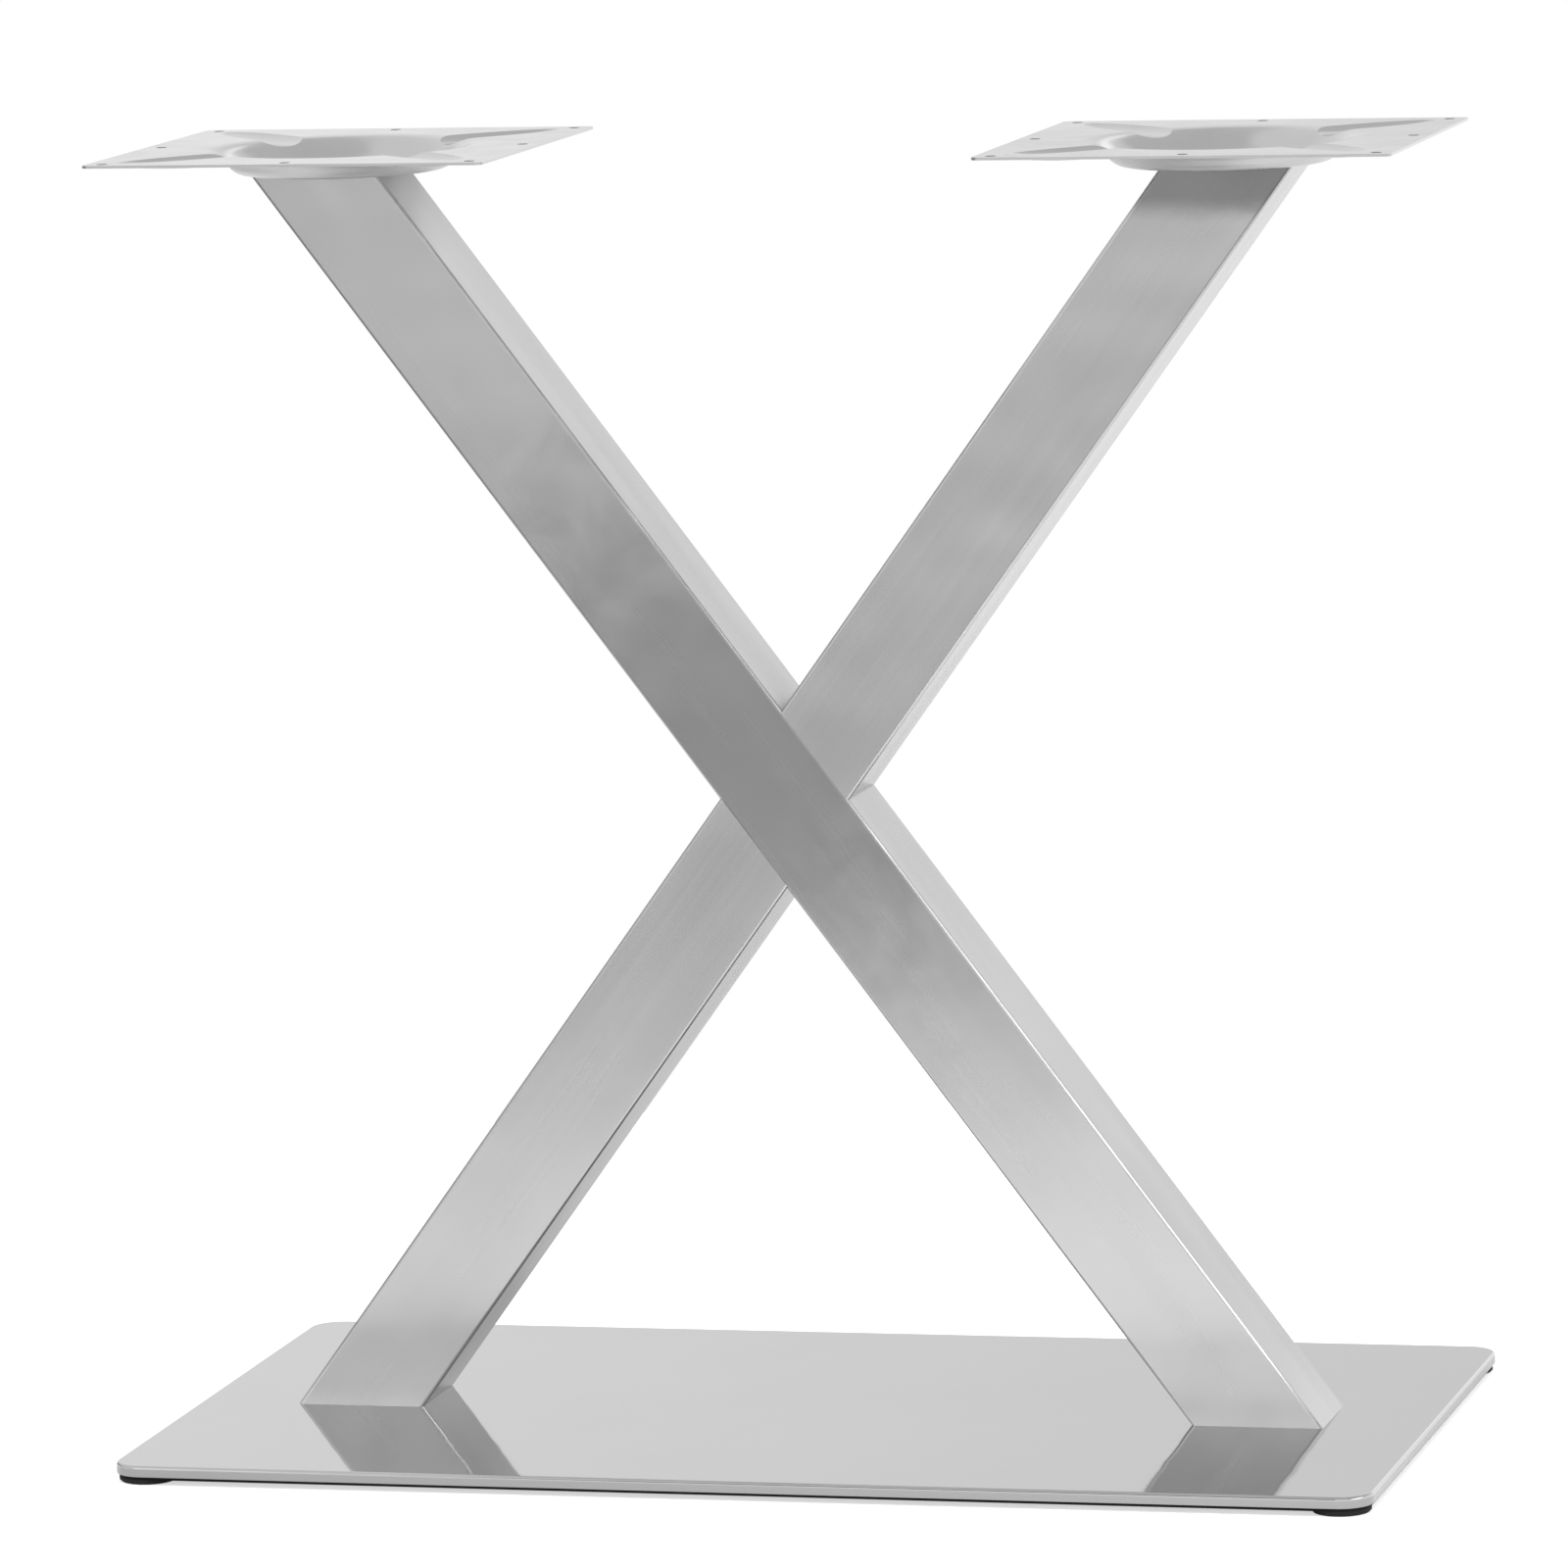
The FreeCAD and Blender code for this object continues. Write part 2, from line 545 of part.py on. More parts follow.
def make_top_plate(name, side):
    """Pressed square plate with a round dish in the middle and a flute to each corner."""
    centre = f"{side} * {PLATE_OFFSET}"
    blank = doc.addObject("PartDesign::Body", f"{name}_blank")
    outline = new_sketch(blank, f"{name}_outline")
    add_rectangle(outline, "square", "Sizes.top_plate_size", "Sizes.top_plate_size")
    block = pad(blank, outline, "Sizes.top_plate_sheet")
    dress(blank, "Fillet", block, upright_edges, "Sizes.top_plate_corner_radius", f"{name}_corners")
    place(blank, centre, "0", RIM_UNDERSIDE)

    outer = pressed_form(f"{name}_outer", side, "Sizes.top_plate_sheet")
    below = common(f"{name}_belly", outer, layer(f"{name}_below", DISH_UNDERSIDE, RIM_UNDERSIDE))
    pressed = fuse(f"{name}_pressed", [blank, below])
    hollowed = cut(f"{name}_hollowed", pressed, pressed_form(f"{name}_inner", side, "0"))

    reach = "(Sizes.top_plate_size / 2 - Sizes.table_hole_inset)"
    punch = "2 * Sizes.top_plate_sheet"
    holes = [cylinder(f"{name}_table_hole_{n}", "Sizes.table_hole_diameter", punch,
                      f"{centre} + {i} * {reach}", f"{j} * {reach}",
                      f"{RIM_UNDERSIDE} - Sizes.top_plate_sheet / 2")
             for n, (i, j) in enumerate(table_hole_grid(), start=1)]
    holes += [cylinder(f"{name}_screw_hole_{n}", "Sizes.bolt_hole_diameter", punch,
                       f"{side} * Sizes.tube_end_offset + {x}", y,
                       f"{DISH_UNDERSIDE} - Sizes.top_plate_sheet / 2")
              for n, (x, y) in enumerate(tube_end_bolts(), start=1)]
    return cut(name, hollowed, group(f"{name}_holes", holes))


def table_hole_grid():
    """The eight hole places round a plate's edge: its corners and the middles of its sides."""
    return [(i, j) for i in (-1, 0, 1) for j in (-1, 0, 1) if (i, j) != (0, 0)]


def make_top_screws(side_name, side):
    """Button-head screws, down through one dish into its tube's tapped plate."""
    screws = []
    seat = f"({DISH_UNDERSIDE} + Sizes.top_plate_sheet)"
    length = "(Sizes.top_plate_sheet + Sizes.end_plate_thickness + Sizes.screw_projection)"
    dome = "(Sizes.button_head_height - Sizes.button_head_band)"
    dome_radius = f"(((Sizes.button_head_diameter / 2)^2 + {dome}^2) / (2 * {dome}))"
    for n, (dx, y) in enumerate(tube_end_bolts(), start=1):
        x = f"{side} * Sizes.tube_end_offset + {dx}"
        tag = f"{side_name}_top_{n}"
        disc = cylinder(f"{tag}_disc", "Sizes.button_head_diameter", "Sizes.button_head_height",
                        x, y, seat)
        ball = primitive("Sphere", f"{tag}_ball", {"Radius": dome_radius}, x, y,
                         f"{seat} + Sizes.button_head_height - {dome_radius}")
        shank = cylinder(f"{tag}_shank", "Sizes.bolt_diameter", length, x, y, f"{seat} - {length}")
        blank = fuse(f"{tag}_blank", [common(f"{tag}_head", disc, ball), shank])
        socket = hexagon(f"{tag}_socket", "Sizes.socket_width", "Sizes.button_head_height", x, y,
                         f"{seat} + Sizes.button_head_height - Sizes.socket_depth")
        screws.append(cut(f"{tag}_screw", blank, socket))
    return group(f"{side_name}_top_screws", screws)


def make_base_screws(side_name, side):
    """Countersunk screws, up through the foot into one tube's tapped plate."""
    screws = []
    under = f"({PLATE_UNDERSIDE} + Sizes.sunk_head_recess)"
    length = f"({COVER_TOP} + Sizes.end_plate_thickness + Sizes.screw_projection - {under})"
    for n, (dx, y) in enumerate(tube_end_bolts(), start=1):
        x = f"{side} * Sizes.tube_end_offset + {dx}"
        tag = f"{side_name}_base_{n}"
        shank = cylinder(f"{tag}_shank", "Sizes.bolt_diameter", length, x, y, under)
        head = primitive("Cone", f"{tag}_head", {
            "Radius1": "Sizes.sunk_head_diameter / 2",
            "Radius2": "Sizes.bolt_diameter / 2",
            "Height": "(Sizes.sunk_head_diameter - Sizes.bolt_diameter) / 2",
        }, x, y, under)
        socket = hexagon(f"{tag}_socket", "Sizes.socket_width", "Sizes.socket_depth", x, y, under)
        screws.append(cut(f"{tag}_screw", fuse(f"{tag}_blank", [shank, head]), socket))
    return group(f"{side_name}_base_screws", screws)


def build():
    """Makes every sub-part and returns them."""
    parts = [make_base_cover(), make_base_plate()]
    parts += [make_foot_pad(tag, x, y) for tag, x, y in foot_pad_places()]
    parts += [make_main_tube(), make_arm("upper_arm_tube", 1), make_arm("lower_arm_tube", -1)]
    head_level = f"({DISH_UNDERSIDE} - Sizes.end_plate_thickness)"
    parts.append(make_end_plate("main_foot_plate", 1, 1, COVER_TOP))
    parts.append(make_end_plate("main_head_plate", 1, -1, head_level))
    parts.append(make_end_plate("lower_arm_foot_plate", -1, -1, COVER_TOP))
    parts.append(make_end_plate("upper_arm_head_plate", -1, 1, head_level))
    for side_name, side in SIDES:
        parts.append(make_top_plate(f"{side_name}_top_plate", side))
        parts.append(make_top_screws(side_name, side))
        parts.append(make_base_screws(side_name, side))
    doc.recompute()
    return parts


def check_document():
    """Stops if any object failed to build."""
    failed = [o.Name for o in doc.Objects if {"Invalid", "Error"} & set(o.State)]
    if failed:
        raise RuntimeError(f"these objects failed to build: {failed}")


def export(parts):
    """Checks each sub-part's shape and writes it to its own file."""
    os.makedirs("parts", exist_ok=True)
    for item in parts:
        shape = item.Shape
        if shape.isNull() or not shape.isValid() or not shape.Solids:
            raise RuntimeError(f"{item.Label} has no valid solid")
        if any(solid.Volume <= 0 for solid in shape.Solids):
            raise RuntimeError(f"{item.Label} has a solid with no volume")
        shape.exportStep(f"parts/{item.Label}.step")
        print(f"{item.Label:24s} {len(shape.Solids)} solids {shape.Volume / 1000:10.3f} cm3")


built = build()
check_document()
export(built)
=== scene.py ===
"""Looks of the cross-frame table base: materials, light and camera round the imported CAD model.

Lengths are in metres, with +Z up, +X along the foot and +Y to its rear.
"""

import math

import bpy
from mathutils import Matrix, Vector


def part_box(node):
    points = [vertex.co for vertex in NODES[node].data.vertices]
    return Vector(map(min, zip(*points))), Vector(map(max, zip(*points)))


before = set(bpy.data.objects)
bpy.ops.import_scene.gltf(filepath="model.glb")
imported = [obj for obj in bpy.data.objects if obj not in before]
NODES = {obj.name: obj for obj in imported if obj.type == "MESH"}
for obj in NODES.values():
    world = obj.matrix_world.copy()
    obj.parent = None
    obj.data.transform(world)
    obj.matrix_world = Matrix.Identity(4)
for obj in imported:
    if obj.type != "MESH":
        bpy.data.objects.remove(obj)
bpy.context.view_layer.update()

RIGHT = Vector((1.0, 0.0, 0.0))
FRONT = Vector((0.0, -1.0, 0.0))
REAR = Vector((0.0, 1.0, 0.0))
UP = Vector((0.0, 0.0, 1.0))
WHITE = (1.0, 1.0, 1.0, 1.0)

# Camera, as fitted to the photograph's edges. The photograph is PHOTO_SIZE pixels square.
PHOTO_SIZE = 1600
FOCAL_PIXELS = 9872.1
SENSOR_MM = 36.0
CAMERA_TURN = 0.2583  # radians, to the right of the front
CAMERA_RISE = 0.1483  # radians, above the level
CAMERA_ROLL = -0.0316  # radians
CAMERA_DISTANCE = 5.4459
CAMERA_TARGET = Vector((-0.00764, 0.0, 0.36782))
CAMERA_REACH = 100.0

# Levels and strokes of the X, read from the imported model. The lean is settled step by step, because a
# leaning tube's box is wider than its run by the tube's face over the cosine of the lean.
COVER_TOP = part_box("base_cover")[1].z
TUBE_FOOT, TUBE_HEAD = (corner.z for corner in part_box("main_tube"))
TUBE_FACE = 0.060
LEAN_STEPS = 20


def stroke_axis(node, way):
    """Unit vector along a leaning tube. Way is the sign of its lean along X."""
    low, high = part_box(node)
    rise = high.z - low.z
    run = high.x - low.x
    angle = math.atan2(run, rise)
    for _ in range(LEAN_STEPS):
        angle = math.atan2(run - TUBE_FACE / math.cos(angle), rise)
    return Vector((way * math.sin(angle), 0.0, math.cos(angle)))


MAIN_AXIS = stroke_axis("main_tube", -1)
CROSS_AXIS = Vector((-MAIN_AXIS.x, 0.0, MAIN_AXIS.z))

# Node helpers

# Nearly all of a noise lies in this span, about its middle.
NOISE_SPAN = (0.3, 0.7)
NOISE_MIDDLE = 0.5


class Graph:
    """A node tree, with short calls that add nodes and links."""

    def __init__(self, tree):
        self.tree = tree

    def add(self, kind, inputs=None, **settings):
        """Adds a node, sets its properties and sets or links its inputs."""
        node = self.tree.nodes.new(f"ShaderNode{kind}")
        for key, value in settings.items():
            setattr(node, key, value)
        for key, value in (inputs or {}).items():
            self.put(node, key, value)
        return node

    def put(self, node, key, value):
        """Sets one input of a node, or links it to another node's output."""
        if isinstance(value, bpy.types.NodeSocket):
            self.tree.links.new(value, node.inputs[key])
        elif isinstance(value, bpy.types.Node):
            self.tree.links.new(value.outputs[0], node.inputs[key])
        else:
            node.inputs[key].default_value = value

    def place(self):
        """Coordinates fixed to the object, in metres."""
        return self.add("TexCoord").outputs["Object"]

    def normal(self):
        """The surface's own normal, without any bump."""
        return self.add("NewGeometry").outputs["True Normal"]

    def split(self, vector):
        """A vector's X, Y and Z."""
        return self.add("SeparateXYZ", {0: vector}).outputs

    def dot(self, vector, direction):
        """How far a vector goes along a fixed direction."""
        inputs = {0: vector, 1: tuple(direction)}
        return self.add("VectorMath", inputs, operation="DOT_PRODUCT").outputs["Value"]

    def maths(self, operation, a, b=0.0):
        """One step of arithmetic."""
        return self.add("Math", {0: a, 1: b}, operation=operation)

    def plus(self, a, b):
        """The sum of two values."""
        return self.maths("ADD", a, b)

    def minus(self, a, b):
        """One value less another."""
        return self.maths("SUBTRACT", a, b)

    def times(self, a, b):
        """The product of two values."""
        return self.maths("MULTIPLY", a, b)

    def less(self, value, share):
        """A value with a share of it taken away."""
        return self.times(value, self.minus(1.0, share))

    def ramp(self, value, span, ends, kind="SMOOTHSTEP"):
        """Maps a value from a span to two ends, which it keeps outside the span."""
        inputs = {0: value, 1: span[0], 2: span[1], 3: ends[0], 4: ends[1]}
        return self.add("MapRange", inputs, interpolation_type=kind).outputs[0]

    def rise(self, value, low, high):
        """0 up to low, 1 from high, and smooth between."""
        return self.ramp(value, (low, high), (0.0, 1.0))

    def fall(self, value, low, high):
        """1 up to low, 0 from high, and smooth between."""
        return self.ramp(value, (low, high), (1.0, 0.0))

    def between(self, a, b, share):
        """A straight mix of two values, a at a share of 0 and b at 1."""
        return self.ramp(share, (0.0, 1.0), (a, b), kind="LINEAR")

    def swing(self, noise, middle, reach):
        """A noise spread evenly about a middle value."""
        return self.ramp(noise, NOISE_SPAN, (middle - reach, middle + reach))

    def noise(self, vector, scale=1.0, detail=2.0, roughness=0.5, distortion=0.0):
        """A cloudy value about 0.5."""
        return self.add("TexNoise", {
            "Vector": vector,
            "Scale": scale,
            "Detail": detail,
            "Roughness": roughness,
            "Distortion": distortion,
        }).outputs[0]

    def stretched(self, axis, along, across):
        """Coordinates for lines along an axis, scaled by along on it and by across off it, per metre."""
        side = axis.cross(REAR).normalized()
        third = axis.cross(side)
        point = self.place()
        return self.add("CombineXYZ", {
            0: self.times(self.dot(point, axis), along),
            1: self.times(self.dot(point, side), across),
            2: self.times(self.dot(point, third), across),
        }).outputs[0]

    def bump(self, height, strength, distance, over=None):
        """A normal bent by a height, over another bump where one is given."""
        inputs = {"Height": height, "Strength": strength, "Distance": distance}
        if over is not None:
            inputs["Normal"] = over
        return self.add("Bump", inputs)


class Finish(Graph):
    """The node tree of one material."""

    def __init__(self, name):
        self.material = bpy.data.materials.new(name)
        self.material.use_nodes = True
        super().__init__(self.material.node_tree)

    def shade(self, colour, bright, **sockets):
        """Sets the shader: a colour times a brightness, and inputs named with underscores for spaces."""
        shader = self.tree.nodes["Principled BSDF"]
        tint = self.add("VectorMath", {0: colour, 1: bright}, operation="MULTIPLY").outputs[0]
        self.put(shader, "Base Color", tint)
        for key, value in sockets.items():
            self.put(shader, key.replace("_", " "), value)
        return self.material


# Tubes: satin stainless steel, ground lengthwise. A reach is how far a value swings each way.

TUBE_COLOUR = (0.53, 0.53, 0.53)
TUBE_ROUGHNESS = 0.26
TUBE_STRETCH = 0.8  # how much the highlights spread across the lines
TUBE_STRETCH_TURN = 0.25
FINE_SHARE = 0.6
COARSE_SHARE = 0.4
CLOUD_REACH = 0.02
LINE_ROUGHNESS_REACH = 0.004
BAND_ROUGHNESS_REACH = 0.02
WAVE_HEIGHT = 0.0009
GRAIN_STEP = 0.0001
TUBE_GRAIN = 0.002
FLARE_LENGTH = 0.045
FLARE_HEIGHT = 0.0022
# Painted light: near the foot the tubes' colour is brightened by this factor, fading out over this
# length.
FOOT_PAINTED_LIGHT = 1.15
FOOT_PAINTED_LIGHT_LENGTH = 0.04
RAGGEDNESS = 0.7  # of the patch's fade
FACING_FRONT = (0.8, 0.95)

# Painted shade patches on the tubes' fronts: the ground crossing, darkened by painted reflection, and a
# painted shadow under the plate at the arm's head. Each gives where along a direction, how far full, how
# far fading, and the share taken.
MAIN_SHADE_PATCH = {"way": MAIN_AXIS, "middle": 0.345, "half": 0.03, "fade": 0.22, "share": 0.36}
HEAD_SHADOW_PATCH = {"way": UP, "middle": TUBE_HEAD, "half": 0.016, "fade": 0.016, "share": 0.5}


def ground_lines(g, axis):
    """Grinding lines along an axis, fine ones over coarse ones."""
    fine = g.noise(g.stretched(axis, along=8.0, across=380.0), detail=1.0)
    coarse = g.noise(g.stretched(axis, along=3.0, across=120.0), detail=2.0)
    return g.plus(g.times(fine, FINE_SHARE), g.times(coarse, COARSE_SHARE))


def flare(g, z):
    """Height of the surface that swells towards the tube's weld on the foot."""
    near = g.ramp(z, (TUBE_FOOT + FLARE_LENGTH, TUBE_FOOT), (0.0, 1.0), kind="LINEAR")
    return g.times(g.times(near, near), FLARE_HEIGHT)


def painted_shade_patch(g, point, way, middle, half, fade, share):
    """Share of the brightness that a ragged patch of painted shade takes from the tube's front face."""
    edges = g.noise(point, scale=28.0, detail=3.0, distortion=0.6)
    ragged = g.times(g.minus(edges, NOISE_MIDDLE), RAGGEDNESS * fade)
    away = g.maths("ABSOLUTE", g.minus(g.dot(point, way), middle))
    shade_share = g.ramp(g.plus(away, ragged), (half, half + fade), (share, 0.0))
    ahead = g.rise(g.dot(g.normal(), FRONT), *FACING_FRONT)
    return g.times(shade_share, ahead)


def tube_steel(name, axis, contrast, patch):
    """Satin stainless steel, ground along a tube, with a patch of painted shade on its front and painted
    light towards its foot.
    """
    g = Finish(name)
    point = g.place()
    z = g.split(point)["Z"]
    lines = ground_lines(g, axis)
    bands = g.noise(g.stretched(axis, along=3.0, across=30.0), detail=2.0)
    clouds = g.noise(point, scale=11.0, detail=3.0)
    bright = g.plus(g.swing(lines, 1.0, contrast), g.swing(clouds, 0.0, CLOUD_REACH))
    # Painted shade: a ragged patch darkens the front face.
    bright = g.less(bright, painted_shade_patch(g, point, **patch))
    # Painted light: the colour brightens towards the foot.
    bright = g.times(bright, g.ramp(z, (TUBE_FOOT, TUBE_FOOT + FOOT_PAINTED_LIGHT_LENGTH), (FOOT_PAINTED_LIGHT, 1.0)))
    roughness = g.plus(g.swing(lines, TUBE_ROUGHNESS, LINE_ROUGHNESS_REACH),
                       g.swing(bands, 0.0, BAND_ROUGHNESS_REACH))
    waves = g.times(g.noise(point, scale=14.0, detail=1.0), WAVE_HEIGHT)
    wavy = g.bump(g.plus(waves, flare(g, z)), strength=1.0, distance=1.0)
    grain = g.bump(lines, strength=TUBE_GRAIN, distance=GRAIN_STEP, over=wavy)
    tangent = g.add("CombineXYZ", {0: axis.x, 1: axis.y, 2: axis.z})
    return g.shade(TUBE_COLOUR, bright, Metallic=1.0, Roughness=roughness, Anisotropic=TUBE_STRETCH,
                   Anisotropic_Rotation=TUBE_STRETCH_TURN, Tangent=tangent, Normal=grain)


# Foot cover: bright stainless steel, with a rougher skirt that starts just below its top and is darkened
# by painted shade.

COVER_COLOUR = (0.56, 0.56, 0.56)
COVER_ROUGHNESS = 0.05
COVER_LINE_REACH = 0.008
COVER_CLOUD_REACH = 0.01
COVER_SMOOTHER = 0.01
COVER_ROUGHER = 0.015
COVER_WAVE_HEIGHT = 0.0002
COVER_GRAIN = 0.002
COVER_STRETCH = 0.2
SKIRT_START = COVER_TOP - 0.0012
SKIRT_FULL = COVER_TOP - 0.0022
SKIRT_PAINTED_SHADE = 0.36
SKIRT_ROUGHNESS = 0.14


def polished_steel(name, axis):
    """Bright stainless steel, finely ground along the foot. Its turned-down skirt is rougher and
    darkened by painted shade.
    """
    g = Finish(name)
    point = g.place()
    fine = g.noise(g.stretched(axis, along=20.0, across=3200.0), detail=2.0, roughness=0.6)
    clouds = g.noise(point, scale=6.0, detail=3.0)
    skirt = g.fall(g.split(point)["Z"], SKIRT_FULL, SKIRT_START)
    bright = g.plus(g.swing(fine, 1.0, COVER_LINE_REACH), g.swing(clouds, 0.0, COVER_CLOUD_REACH))
    # Painted shade darkens the skirt.
    bright = g.less(bright, g.times(skirt, SKIRT_PAINTED_SHADE))
    cloudy = g.ramp(clouds, NOISE_SPAN,
                    (COVER_ROUGHNESS - COVER_SMOOTHER, COVER_ROUGHNESS + COVER_ROUGHER))
    roughness = g.plus(cloudy, g.times(skirt, SKIRT_ROUGHNESS))
    waves = g.times(g.noise(point, scale=16.0, detail=1.0), COVER_WAVE_HEIGHT)
    wavy = g.bump(waves, strength=1.0, distance=1.0)
    grain = g.bump(fine, strength=COVER_GRAIN, distance=GRAIN_STEP, over=wavy)
    return g.shade(COVER_COLOUR, bright, Metallic=1.0, Roughness=roughness,
                   Anisotropic=COVER_STRETCH, Normal=grain)


# Mounting plates: pressed sheet with darker cut edges and a rougher underside, darkened a little by
# painted shade.

PLATE_COLOUR = (0.62, 0.62, 0.62)
PLATE_ROUGHNESS = 0.16
PLATE_LINE_REACH = 0.01
SMEAR_SPAN = (0.35, 0.7)
SMEAR_REACH = 0.02
SMEAR_SMOOTHER = 0.03
SMEAR_ROUGHER = 0.04
SMEAR_STRENGTH = 0.02
SMEAR_STEP = 0.001
PLATE_GRAIN = 0.004
PLATE_STRETCH = 0.3
UNDERSIDE_NORMAL = (-0.1, -0.05)
UNDERSIDE_PAINTED_SHADE = 0.04
UNDERSIDE_ROUGHNESS = 0.25
EDGE_NORMAL = (0.04, 0.06)
EDGE_SHADE = 0.18


def pressed_steel(name, axis):
    """Pressed sheet: fine grain along an axis, with the press's smears and faint marks over it."""
    g = Finish(name)
    fine = g.noise(g.stretched(axis, along=30.0, across=1800.0), detail=3.0, roughness=0.6)
    smears = g.noise(g.place(), scale=22.0, detail=4.0, distortion=1.2)
    facing = g.split(g.normal())["Z"]
    under = g.fall(facing, *UNDERSIDE_NORMAL)
    edge = g.fall(g.maths("ABSOLUTE", facing), *EDGE_NORMAL)
    bright = g.plus(g.swing(fine, 1.0, PLATE_LINE_REACH),
                    g.ramp(smears, SMEAR_SPAN, (-SMEAR_REACH, SMEAR_REACH)))
    # Painted shade darkens the underside a little.
    bright = g.minus(bright, g.times(under, UNDERSIDE_PAINTED_SHADE))
    bright = g.minus(bright, g.times(edge, EDGE_SHADE))
    smeared = g.ramp(smears, NOISE_SPAN,
                     (PLATE_ROUGHNESS - SMEAR_SMOOTHER, PLATE_ROUGHNESS + SMEAR_ROUGHER))
    roughness = g.plus(smeared, g.times(under, UNDERSIDE_ROUGHNESS))
    grain = g.bump(fine, strength=PLATE_GRAIN, distance=GRAIN_STEP)
    marks = g.bump(smears, strength=SMEAR_STRENGTH, distance=SMEAR_STEP, over=grain)
    return g.shade(PLATE_COLOUR, bright, Metallic=1.0, Roughness=roughness,
                   Anisotropic=PLATE_STRETCH, Normal=marks)


# Plain finishes: painted, moulded or plated surfaces with a fine grain in wider patches.

GRAINS_PER_PATCH = 20
PATCH_ROUGHNESS_REACH = 0.05
PLAIN_STEP = 0.0003


def plain_finish(name, colour, roughness, metallic, scale, grain, contrast, specular=0.5):
    """A plain finish. Scale is that of its grain, per metre, and grain is the strength of its bump."""
    g = Finish(name)
    grains = g.noise(g.place(), scale=scale, detail=3.0)
    patches = g.noise(g.place(), scale=scale / GRAINS_PER_PATCH, detail=2.0)
    bright = g.plus(g.swing(grains, 1.0, contrast), g.swing(patches, 0.0, contrast))
    return g.shade(colour, bright, Metallic=metallic, Specular_IOR_Level=specular,
                   Roughness=g.swing(patches, roughness, PATCH_ROUGHNESS_REACH),
                   Normal=g.bump(grains, strength=grain, distance=PLAIN_STEP))


def paint(node, material):
    """Gives a node's every material slot one material."""
    if not NODES[node].material_slots:
        NODES[node].data.materials.append(material)
    for entry in NODES[node].material_slots:
        entry.material = material


main_steel = tube_steel("steel_along_main", MAIN_AXIS, contrast=0.008, patch=MAIN_SHADE_PATCH)
cross_steel = tube_steel("steel_along_cross", CROSS_AXIS, contrast=0.014, patch=HEAD_SHADOW_PATCH)
cover_steel = polished_steel("steel_along_foot", RIGHT)
plate_steel = pressed_steel("steel_pressed", RIGHT)
inner_steel = plain_finish("steel_inner", (0.4, 0.4, 0.4), roughness=0.45, metallic=1.0,
                           scale=400.0, grain=0.2, contrast=0.06)
screw_zinc = plain_finish("zinc_screws", (0.55, 0.55, 0.54), roughness=0.35, metallic=1.0,
                          scale=900.0, grain=0.15, contrast=0.05)
ballast_paint = plain_finish("ballast_coat", (0.01, 0.01, 0.01), roughness=0.8, metallic=0.0,
                             scale=900.0, grain=0.5, contrast=0.2, specular=0.1)
pad_rubber = plain_finish("pad_rubber", (0.014, 0.014, 0.014), roughness=0.8, metallic=0.0,
                          scale=700.0, grain=0.4, contrast=0.2, specular=0.3)

FINISHES = {
    "base_cover": cover_steel,
    "base_plate": ballast_paint,
    "front_left_pad": pad_rubber,
    "front_right_pad": pad_rubber,
    "rear_left_pad": pad_rubber,
    "rear_right_pad": pad_rubber,
    "main_tube": main_steel,
    "upper_arm_tube": cross_steel,
    "lower_arm_tube": cross_steel,
    "main_foot_plate": inner_steel,
    "main_head_plate": inner_steel,
    "lower_arm_foot_plate": inner_steel,
    "upper_arm_head_plate": inner_steel,
    "left_top_plate": plate_steel,
    "right_top_plate": plate_steel,
    "left_top_screws": screw_zinc,
    "right_top_screws": screw_zinc,
    "left_base_screws": screw_zinc,
    "right_base_screws": screw_zinc,
}
for node_name, finish in FINISHES.items():
    paint(node_name, finish)

# Camera


def make_camera():
    """Sets the camera at the photograph's place."""
    back = Vector((math.sin(CAMERA_TURN) * math.cos(CAMERA_RISE),
                   -math.cos(CAMERA_TURN) * math.cos(CAMERA_RISE),
                   math.sin(CAMERA_RISE)))
    level = Vector((math.cos(CAMERA_TURN), math.sin(CAMERA_TURN), 0.0))
    upright = back.cross(level)
    right = math.cos(CAMERA_ROLL) * level + math.sin(CAMERA_ROLL) * upright
    up = math.cos(CAMERA_ROLL) * upright - math.sin(CAMERA_ROLL) * level
    data = bpy.data.cameras.new("photo_camera")
    data.sensor_width = SENSOR_MM
    data.lens = FOCAL_PIXELS / PHOTO_SIZE * SENSOR_MM
    data.clip_end = CAMERA_REACH
    camera = bpy.data.objects.new("photo_camera", data)
    bpy.context.scene.collection.objects.link(camera)
    place = CAMERA_TARGET + back * CAMERA_DISTANCE
    turn = Matrix((right, up, back)).transposed().to_4x4()
    camera.matrix_world = Matrix.Translation(place) @ turn
    bpy.context.scene.camera = camera


make_camera()

# Floor

FLOOR_RADIUS = 1.0
FLOOR_SIDES = 96
FLOOR_LEVEL = -0.0003
FLOOR_COLOUR = (0.86, 0.86, 0.86, 1.0)
FLOOR_GLOW = 0.62
FLOOR_GLOW_IN_METAL = 0.17


